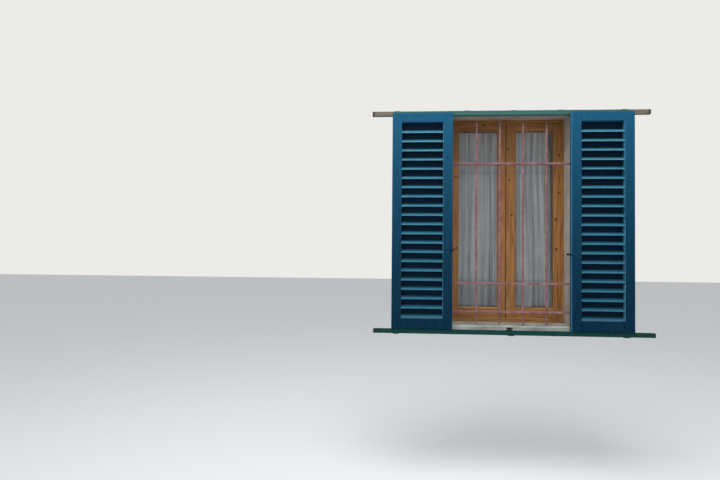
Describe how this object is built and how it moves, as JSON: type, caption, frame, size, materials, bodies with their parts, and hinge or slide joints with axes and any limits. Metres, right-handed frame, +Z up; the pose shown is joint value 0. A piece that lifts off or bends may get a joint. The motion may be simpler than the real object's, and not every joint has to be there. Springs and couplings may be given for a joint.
{
  "type": "window with sliding louvred shutters",
  "caption": "Pine casement window in a plastered reveal with a stone sill, a steel grille, net curtains, and a pair of blue louvred shutters that slide on rails.",
  "frame": {"origin": "middle of the four wall bolts, on the outer face of the wall", "axes": "+X to the right seen from outside, +Y into the building, +Z up"},
  "size_m": [1.9715, 0.429, 1.614],
  "materials": {
    "plaster": "lime plaster, fine sand texture, matt",
    "white_stone": "honed limestone, weathered",
    "zinc_steel": "zinc plated",
    "black_steel": "black paint, satin",
    "cap_paint": "dark paint, satin, worn",
    "top_rail_paint": "teal paint, matt, worn to brown grey at the ends",
    "guide_rail_paint": "dark green paint, satin",
    "bracket_steel": "dark grey paint, satin",
    "handle_metal": "satin anodised",
    "hinge_steel": "brass plated, satin",
    "red_oxide_paint": "red oxide paint, faded, matt",
    "wheel_nylon": "turned nylon",
    "guide_nylon": "moulded nylon",
    "shutter_paint": "blue gloss paint over folded steel",
    "window_glass": "clear float glass",
    "rod_steel": "white lacquer",
    "net_cloth": "fine net, gathered",
    "pine": "pine, clear orange varnish, satin"
  },
  "bodies": {
    "root": {"bracket_screws": "zinc_steel", "centre_stop": "black_steel", "frame_foot": "pine", "frame_head": "pine", "frame_hinge_halves": "hinge_steel", "frame_left_jamb": "pine", "frame_right_jamb": "pine", "frame_screws": "zinc_steel", "grille_lower_bar": "red_oxide_paint", "grille_middle_bar": "red_oxide_paint", "grille_upper_bar": "red_oxide_paint", "grille_upright_1": "red_oxide_paint", "grille_upright_2": "red_oxide_paint", "grille_upright_3": "red_oxide_paint", "grille_upright_4": "red_oxide_paint", "guide_rail": "guide_rail_paint", "guide_rail_brackets": "bracket_steel", "rail_end_caps": "cap_paint", "rail_screws": "zinc_steel", "reveal_lining": "plaster", "sill_slab": "white_stone", "top_rail": "top_rail_paint", "top_rail_brackets": "bracket_steel"},
    "left_shutter": {"left_shutter_foot_rail": "shutter_paint", "left_shutter_guides": "guide_nylon", "left_shutter_hangers": "bracket_steel", "left_shutter_inner_stile": "shutter_paint", "left_shutter_outer_stile": "shutter_paint", "left_shutter_slats": "shutter_paint", "left_shutter_top_rail": "shutter_paint", "shutter_hook_plate": "black_steel"},
    "right_shutter": {"right_shutter_foot_rail": "shutter_paint", "right_shutter_guides": "guide_nylon", "right_shutter_hangers": "bracket_steel", "right_shutter_inner_stile": "shutter_paint", "right_shutter_outer_stile": "shutter_paint", "right_shutter_slats": "shutter_paint", "right_shutter_top_rail": "shutter_paint", "shutter_keeper": "black_steel"},
    "left_outer_wheels": {"left_outer_wheels": "wheel_nylon"},
    "left_inner_wheels": {"left_inner_wheels": "wheel_nylon"},
    "right_outer_wheels": {"right_outer_wheels": "wheel_nylon"},
    "right_inner_wheels": {"right_inner_wheels": "wheel_nylon"},
    "left_sash": {"left_curtain_rod": "rod_steel", "left_net_curtain": "net_cloth", "left_sash_beads": "pine", "left_sash_frame": "pine", "left_sash_glass": "window_glass", "left_sash_hinge_halves": "hinge_steel"},
    "right_sash": {"handle_case": "handle_metal", "right_curtain_rod": "rod_steel", "right_net_curtain": "net_cloth", "right_sash_beads": "pine", "right_sash_frame": "pine", "right_sash_glass": "window_glass", "right_sash_hinge_halves": "hinge_steel"},
    "handle": {"handle": "handle_metal"},
    "top_bolt": {"top_bolt": "zinc_steel"},
    "foot_bolt": {"foot_bolt": "zinc_steel"},
    "shutter_hook": {"shutter_hook": "black_steel"}
  },
  "joints": [
    {"name": "left_shutter_slide", "type": "slide", "parent": "root", "child": "left_shutter", "axis": [1, 0, 0], "range_m": [-0.1245, 0.4335]},
    {"name": "right_shutter_slide", "type": "slide", "parent": "root", "child": "right_shutter", "axis": [-1, 0, 0], "range_m": [-0.1195, 0.3905]},
    {"name": "left_outer_wheels_turn", "type": "hinge", "parent": "left_shutter", "child": "left_outer_wheels", "pos_m": [-0.8, -0.02, 0.7868], "axis": [0, 1, 0], "range_deg": [-681.4, 2367.5]},
    {"name": "left_inner_wheels_turn", "type": "hinge", "parent": "left_shutter", "child": "left_inner_wheels", "pos_m": [-0.438, -0.02, 0.7868], "axis": [0, 1, 0], "range_deg": [-681.4, 2367.5]},
    {"name": "right_outer_wheels_turn", "type": "hinge", "parent": "right_shutter", "child": "right_outer_wheels", "pos_m": [0.817, -0.02, 0.7868], "axis": [0, 1, 0], "range_deg": [-2132.9, 654.1]},
    {"name": "right_inner_wheels_turn", "type": "hinge", "parent": "right_shutter", "child": "right_inner_wheels", "pos_m": [0.455, -0.02, 0.7868], "axis": [0, 1, 0], "range_deg": [-2132.9, 654.1]},
    {"name": "left_sash_hinge", "type": "hinge", "parent": "root", "child": "left_sash", "pos_m": [-0.3875, 0.303, 0], "axis": [0, 0, 1], "range_deg": [0, 95]},
    {"name": "right_sash_hinge", "type": "hinge", "parent": "root", "child": "right_sash", "pos_m": [0.4475, 0.303, 0], "axis": [0, 0, -1], "range_deg": [0, 95]},
    {"name": "handle_turn", "type": "hinge", "parent": "right_sash", "child": "handle", "pos_m": [0.05525, 0.2955, -0.04], "axis": [0, 1, 0], "range_deg": [0, 90]},
    {"name": "top_bolt_slide", "type": "slide", "parent": "right_sash", "child": "top_bolt", "axis": [0, 0, 1], "range_m": [0, 0.0161]},
    {"name": "foot_bolt_slide", "type": "slide", "parent": "right_sash", "child": "foot_bolt", "axis": [0, 0, -1], "range_m": [0, 0.0161]},
    {"name": "shutter_hook_turn", "type": "hinge", "parent": "left_shutter", "child": "shutter_hook", "pos_m": [-0.412, -0.0914, -0.203], "axis": [0, 1, 0], "range_deg": [-45, 65]}
  ],
  "couplings": [
    {"joint": "left_outer_wheels_turn", "follows": "left_shutter_slide", "rad_per_m": 95.238},
    {"joint": "left_inner_wheels_turn", "follows": "left_shutter_slide", "rad_per_m": 95.238},
    {"joint": "right_outer_wheels_turn", "follows": "right_shutter_slide", "rad_per_m": -95.238},
    {"joint": "right_inner_wheels_turn", "follows": "right_shutter_slide", "rad_per_m": -95.238},
    {"joint": "top_bolt_slide", "follows": "handle_turn", "m_per_rad": 0.010186},
    {"joint": "foot_bolt_slide", "follows": "handle_turn", "m_per_rad": 0.010186}
  ]
}
